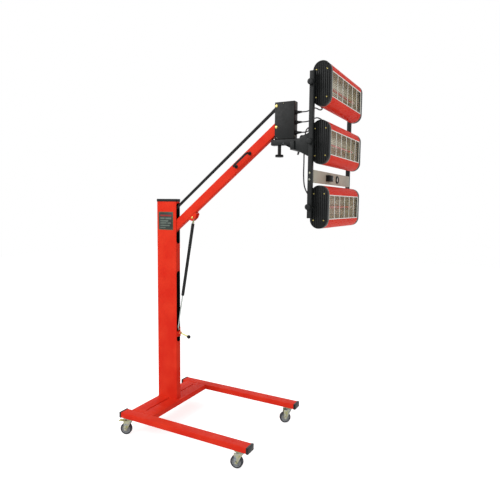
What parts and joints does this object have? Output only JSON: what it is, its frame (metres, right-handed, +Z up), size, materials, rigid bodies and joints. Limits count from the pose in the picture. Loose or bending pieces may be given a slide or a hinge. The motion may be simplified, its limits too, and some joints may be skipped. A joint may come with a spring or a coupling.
{
  "type": "infrared curing lamp",
  "caption": "Wheeled infrared paint curing lamp with a gas-sprung parallel arm, a swivelling head and tilting lamp cassettes on a frame.",
  "frame": {"origin": "on the floor, below the centre of the bounding box at rest", "axes": "+X forward, the way the legs, arm and lamps point; +Y to the lamp's left; +Z up"},
  "size_m": [1.172, 0.6462, 1.905],
  "materials": {
    "red_powder_coat": "gloss red powder coat on steel",
    "black_powder_coat": "satin black powder coat on steel",
    "black_plastic": "moulded black plastic",
    "zinc_plate": "bright zinc plate",
    "yellow_zinc": "yellow passivated zinc",
    "label_film": "dark printed film",
    "rubber_tread": "grey rubber",
    "polished_rod": "hard chromed rod",
    "cast_black": "black cast zinc",
    "sensor_sheet": "warm grey coated sheet",
    "polished_reflector": "polished aluminium",
    "grille_wire": "chromed wire",
    "ruby_glass": "ruby quartz glass and white ceramic",
    "terminal_plastic": "ivory moulded plastic",
    "lead_sheath": "dark silicone sheath"
  },
  "bodies": {
    "stand": {"left_leg": "red_powder_coat", "right_leg": "red_powder_coat", "crossbar": "red_powder_coat", "leg_end_caps": "black_plastic", "mast": "red_powder_coat", "mast_cap": "black_plastic", "label_plate": "label_film", "mast_pins": "zinc_plate", "spring_anchor": "red_powder_coat", "caster_plates": "zinc_plate"},
    "front_near_fork": {"front_near_fork": "zinc_plate"},
    "front_near_wheel": {"front_near_wheel": "rubber_tread"},
    "front_far_fork": {"front_far_fork": "zinc_plate"},
    "front_far_wheel": {"front_far_wheel": "rubber_tread"},
    "rear_near_fork": {"rear_near_fork": "zinc_plate"},
    "rear_near_wheel": {"rear_near_wheel": "rubber_tread"},
    "rear_near_brake_pedal": {"rear_near_brake_pedal": "yellow_zinc"},
    "rear_far_fork": {"rear_far_fork": "zinc_plate"},
    "rear_far_wheel": {"rear_far_wheel": "rubber_tread"},
    "rear_far_brake_pedal": {"rear_far_brake_pedal": "yellow_zinc"},
    "arm": {"arm_tube": "red_powder_coat", "arm_handle": "black_plastic", "spring_bracket": "red_powder_coat", "spring_bolt": "yellow_zinc"},
    "level_rod": {"level_rod": "black_powder_coat"},
    "gas_cylinder": {"gas_cylinder": "black_powder_coat"},
    "gas_rod": {"gas_rod": "polished_rod"},
    "anchor_lever": {"anchor_lever": "zinc_plate"},
    "head": {"head_bracket": "black_powder_coat", "head_pins": "yellow_zinc", "terminal_block": "terminal_plastic", "cable_glands": "black_plastic", "lead_top": "lead_sheath", "lead_middle": "lead_sheath", "lead_bottom": "lead_sheath"},
    "swivel": {"swivel_arm": "black_powder_coat"},
    "swivel_knob": {"swivel_knob": "black_plastic"},
    "lamp_frame": {"lamp_frame": "black_powder_coat", "sensor_plate": "sensor_sheet", "sensor_unit": "black_plastic"},
    "clamp_lever": {"clamp_lever": "cast_black"},
    "top_cassette": {"top_housing": "red_powder_coat", "top_end_caps": "black_plastic", "top_reflector": "polished_reflector", "top_grille": "grille_wire", "top_lamp_tube": "ruby_glass"},
    "top_tilt_knob": {"top_tilt_knob": "black_plastic"},
    "middle_cassette": {"middle_housing": "red_powder_coat", "middle_end_caps": "black_plastic", "middle_reflector": "polished_reflector", "middle_grille": "grille_wire", "middle_lamp_tube": "ruby_glass"},
    "middle_tilt_knob": {"middle_tilt_knob": "black_plastic"},
    "bottom_cassette": {"bottom_housing": "red_powder_coat", "bottom_end_caps": "black_plastic", "bottom_reflector": "polished_reflector", "bottom_grille": "grille_wire", "bottom_lamp_tube": "ruby_glass"},
    "bottom_tilt_knob": {"bottom_tilt_knob": "black_plastic"}
  },
  "joints": [
    {"name": "front_near_swivel", "type": "hinge", "parent": "stand", "child": "front_near_fork", "pos_m": [0.19263, -0.289, 0.097], "axis": [0, 0, 1], "continuous": true},
    {"name": "front_near_roll", "type": "hinge", "parent": "front_near_fork", "child": "front_near_wheel", "pos_m": [0.16998, -0.29299, 0.0325], "axis": [0.1736, -0.9848, 0], "continuous": true},
    {"name": "front_far_swivel", "type": "hinge", "parent": "stand", "child": "front_far_fork", "pos_m": [0.19263, 0.289, 0.097], "axis": [0, 0, 1], "continuous": true},
    {"name": "front_far_roll", "type": "hinge", "parent": "front_far_fork", "child": "front_far_wheel", "pos_m": [0.17379, 0.27581, 0.0325], "axis": [0.5736, -0.8192, 0], "continuous": true},
    {"name": "rear_near_swivel", "type": "hinge", "parent": "stand", "child": "rear_near_fork", "pos_m": [-0.52137, -0.289, 0.097], "axis": [0, 0, 1], "continuous": true},
    {"name": "rear_near_roll", "type": "hinge", "parent": "rear_near_fork", "child": "rear_near_wheel", "pos_m": [-0.54298, -0.29687, 0.0325], "axis": [0.342, -0.9397, 0], "continuous": true},
    {"name": "rear_near_brake", "type": "hinge", "parent": "rear_near_fork", "child": "rear_near_brake_pedal", "pos_m": [-0.54956, -0.29926, 0.074], "axis": [0.342, -0.9397, 0], "range_deg": [0, 12]},
    {"name": "rear_far_swivel", "type": "hinge", "parent": "stand", "child": "rear_far_fork", "pos_m": [-0.52137, 0.289, 0.097], "axis": [0, 0, 1], "continuous": true},
    {"name": "rear_far_roll", "type": "hinge", "parent": "rear_far_fork", "child": "rear_far_wheel", "pos_m": [-0.54298, 0.29687, 0.0325], "axis": [-0.342, -0.9397, 0], "continuous": true},
    {"name": "rear_far_brake", "type": "hinge", "parent": "rear_far_fork", "child": "rear_far_brake_pedal", "pos_m": [-0.54956, 0.29926, 0.074], "axis": [-0.342, -0.9397, 0], "range_deg": [0, 12]},
    {"name": "arm_lift", "type": "hinge", "parent": "stand", "child": "arm", "pos_m": [-0.46237, 0, 1.121], "axis": [0, -1, 0], "range_deg": [-54, 0]},
    {"name": "level_rod_turn", "type": "hinge", "parent": "stand", "child": "level_rod", "pos_m": [-0.46237, 0, 1.225], "axis": [0, -1, 0], "range_deg": [-54, 0]},
    {"name": "gas_cylinder_turn", "type": "hinge", "parent": "arm", "child": "gas_cylinder", "pos_m": [-0.29128, 0, 1.21322], "axis": [0, -1, 0], "range_deg": [0, 50.06]},
    {"name": "gas_rod_slide", "type": "slide", "parent": "gas_cylinder", "child": "gas_rod", "axis": [0.1715, 0, 0.9852], "range_m": [0, 0.17194]},
    {"name": "anchor_lever_turn", "type": "hinge", "parent": "stand", "child": "anchor_lever", "pos_m": [-0.38987, 0, 0.531], "axis": [0, -1, 0], "range_deg": [0, 40]},
    {"name": "head_level", "type": "hinge", "parent": "arm", "child": "head", "pos_m": [0.22696, 0, 1.67921], "axis": [0, -1, 0], "range_deg": [0, 54]},
    {"name": "head_yaw", "type": "hinge", "parent": "head", "child": "swivel", "pos_m": [0.23696, 0, 1.61891], "axis": [0, 0, 1], "range_deg": [-90, 90], "deforming": ["lead_top", "lead_middle", "lead_bottom"]},
    {"name": "swivel_knob_turn", "type": "hinge", "parent": "head", "child": "swivel_knob", "pos_m": [0.23696, 0, 1.58991], "axis": [0, 0, 1], "continuous": true},
    {"name": "frame_roll", "type": "hinge", "parent": "swivel", "child": "lamp_frame", "pos_m": [0.36226, 0, 1.60341], "axis": [1, 0, 0], "range_deg": [-90, 90]},
    {"name": "clamp_lever_turn", "type": "hinge", "parent": "lamp_frame", "child": "clamp_lever", "pos_m": [0.37626, -0.033, 1.60341], "axis": [0, -1, 0], "range_deg": [-30, 30]},
    {"name": "top_tilt", "type": "hinge", "parent": "lamp_frame", "child": "top_cassette", "pos_m": [0.51396, 0, 1.81001], "axis": [0, -1, 0], "range_deg": [-20, 20]},
    {"name": "top_tilt_knob_turn", "type": "hinge", "parent": "lamp_frame", "child": "top_tilt_knob", "pos_m": [0.51396, -0.284, 1.81001], "axis": [0, -1, 0], "continuous": true},
    {"name": "middle_tilt", "type": "hinge", "parent": "lamp_frame", "child": "middle_cassette", "pos_m": [0.51396, 0, 1.56301], "axis": [0, -1, 0], "range_deg": [-20, 20]},
    {"name": "middle_tilt_knob_turn", "type": "hinge", "parent": "lamp_frame", "child": "middle_tilt_knob", "pos_m": [0.51396, -0.284, 1.56301], "axis": [0, -1, 0], "continuous": true},
    {"name": "bottom_tilt", "type": "hinge", "parent": "lamp_frame", "child": "bottom_cassette", "pos_m": [0.51396, 0, 1.28201], "axis": [0, -1, 0], "range_deg": [-20, 20]},
    {"name": "bottom_tilt_knob_turn", "type": "hinge", "parent": "lamp_frame", "child": "bottom_tilt_knob", "pos_m": [0.51396, -0.284, 1.28201], "axis": [0, -1, 0], "continuous": true}
  ],
  "couplings": [
    {"joint": "level_rod_turn", "follows": "arm_lift", "ratio": 1},
    {"joint": "head_level", "follows": "arm_lift", "ratio": -1},
    {"joint": "gas_cylinder_turn", "follows": "arm_lift", "ratio": -0.92709},
    {"joint": "gas_rod_slide", "follows": "arm_lift", "m_per_rad": -0.18243}
  ]
}
